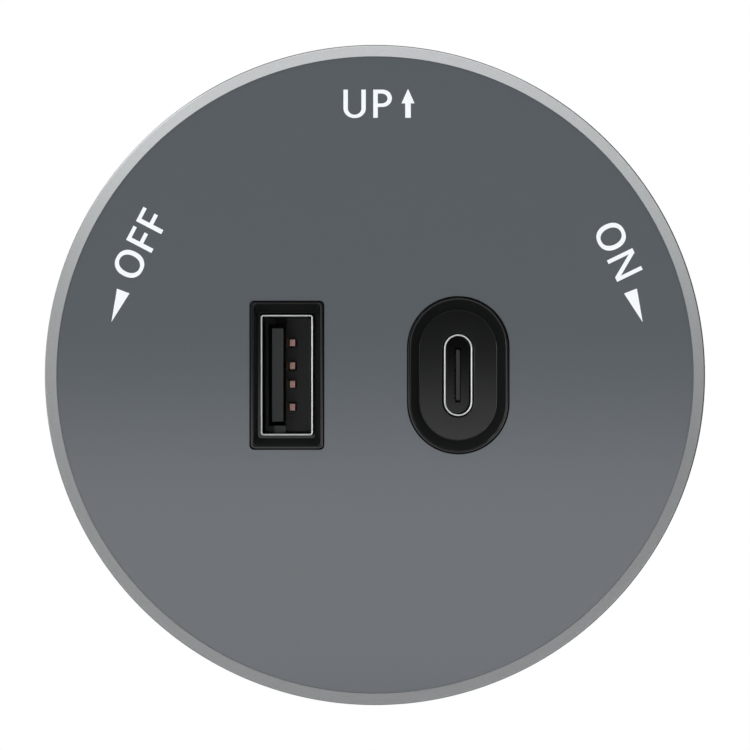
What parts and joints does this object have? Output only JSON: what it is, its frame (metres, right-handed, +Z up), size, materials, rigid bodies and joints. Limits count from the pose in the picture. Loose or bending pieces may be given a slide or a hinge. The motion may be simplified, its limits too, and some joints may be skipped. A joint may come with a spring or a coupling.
{
  "type": "power track usb socket",
  "caption": "Round twist-lock adapter that plugs into a wall power track and gives a USB-A and a USB-C charging outlet.",
  "frame": {"origin": "on the turning axis, in the plane where the base seats on the track's front face", "axes": "+Y into the track, -Y out of the face towards the user, +Z up the face as its UP arrow points, +X to the right seen from the front"},
  "size_m": [0.0716, 0.0513, 0.0716],
  "materials": {
    "blasted_aluminium": "bead-blasted, clear anodised",
    "graphite_paint": "satin graphite paint",
    "gloss_black_abs": "moulded, polished",
    "black_nylon": "moulded, fine texture",
    "port_plastic": "moulded, smooth",
    "nickel_plate": "bright nickel",
    "copper_contact": "plated copper alloy",
    "gold_contact": "gold flash",
    "brass_strip": "rolled brass",
    "zinc_steel": "zinc-plated",
    "spring_steel": "drawn wire",
    "glide_ptfe": "cut sheet",
    "board_green": "solder mask",
    "ferrite": "sintered",
    "coil_tape": "polyester tape",
    "copper_winding": "enamelled wire",
    "capacitor_sleeve": "shrunk sleeve",
    "fuse_case": "moulded",
    "disc_blue": "dipped epoxy",
    "chip_black": "moulded epoxy",
    "spacer_nylon": "moulded nylon",
    "white_ink": "pad-printed marks on the face plate"
  },
  "bodies": {
    "base": {"track_base": "black_nylon", "glide_washer": "glide_ptfe"},
    "head": {"head_ring": "blasted_aluminium", "face_plate": "graphite_paint", "front_carrier": "black_nylon", "usb_a_bezel": "gloss_black_abs", "usb_c_bezel": "gloss_black_abs", "usb_a_shell": "nickel_plate", "usb_a_tongue": "port_plastic", "usb_a_contacts": "copper_contact", "usb_c_shell": "nickel_plate", "usb_c_tongue": "port_plastic", "usb_c_contacts": "gold_contact", "usb_c_pedestal": "port_plastic", "usb_board": "board_green", "port_controller": "chip_black", "port_inductor": "ferrite", "board_spacers": "spacer_nylon", "header_strip": "chip_black", "header_pins": "gold_contact", "power_board": "board_green", "transformer_core": "ferrite", "transformer_bobbin": "chip_black", "transformer_winding": "coil_tape", "input_capacitors": "capacitor_sleeve", "output_capacitors": "capacitor_sleeve", "fuse": "fuse_case", "varistor": "disc_blue", "safety_capacitor": "disc_blue", "choke_core": "ferrite", "choke_winding": "copper_winding", "bridge_rectifier": "chip_black", "mains_controller": "chip_black", "output_rectifier": "chip_black", "rear_cover": "black_nylon", "cover_screws": "zinc_steel", "board_screws": "zinc_steel", "click_spring": "spring_steel", "click_plug": "brass_strip", "stop_pin": "zinc_steel", "rotor_blade": "black_nylon", "blade_lid": "black_nylon", "blade_screws": "zinc_steel", "rotor_clamp": "zinc_steel", "clamp_screws": "zinc_steel", "live_strip": "brass_strip", "neutral_strip": "brass_strip", "earth_strip": "brass_strip", "live_spring": "spring_steel", "neutral_spring": "spring_steel", "earth_spring": "spring_steel"},
    "live_shoe": {"live_contact": "brass_strip"},
    "neutral_shoe": {"neutral_contact": "brass_strip"},
    "earth_plunger": {"earth_pin": "brass_strip"},
    "ball": {"click_ball": "zinc_steel"}
  },
  "joints": [
    {"name": "head_turn", "type": "hinge", "parent": "base", "child": "head", "pos_m": [0, 0, 0], "axis": [0, -1, 0], "range_deg": [0, 90]},
    {"name": "live_press", "type": "slide", "parent": "head", "child": "live_shoe", "axis": [0, 0, -1], "range_m": [0, 0.001], "stiffness_N_per_m": 1500, "springref_m": -0.001, "deforming": ["live_spring"]},
    {"name": "neutral_press", "type": "slide", "parent": "head", "child": "neutral_shoe", "axis": [0, 0, 1], "range_m": [0, 0.001], "stiffness_N_per_m": 1500, "springref_m": -0.001, "deforming": ["neutral_spring"]},
    {"name": "earth_press", "type": "slide", "parent": "head", "child": "earth_plunger", "axis": [0, -1, 0], "range_m": [0, 0.001], "stiffness_N_per_m": 1200, "springref_m": -0.001, "deforming": ["earth_spring"]},
    {"name": "ball_lift", "type": "slide", "parent": "head", "child": "ball", "axis": [0, -1, 0], "range_m": [-0.0003, 0.0005], "stiffness_N_per_m": 1500, "deforming": ["click_spring"]}
  ]
}
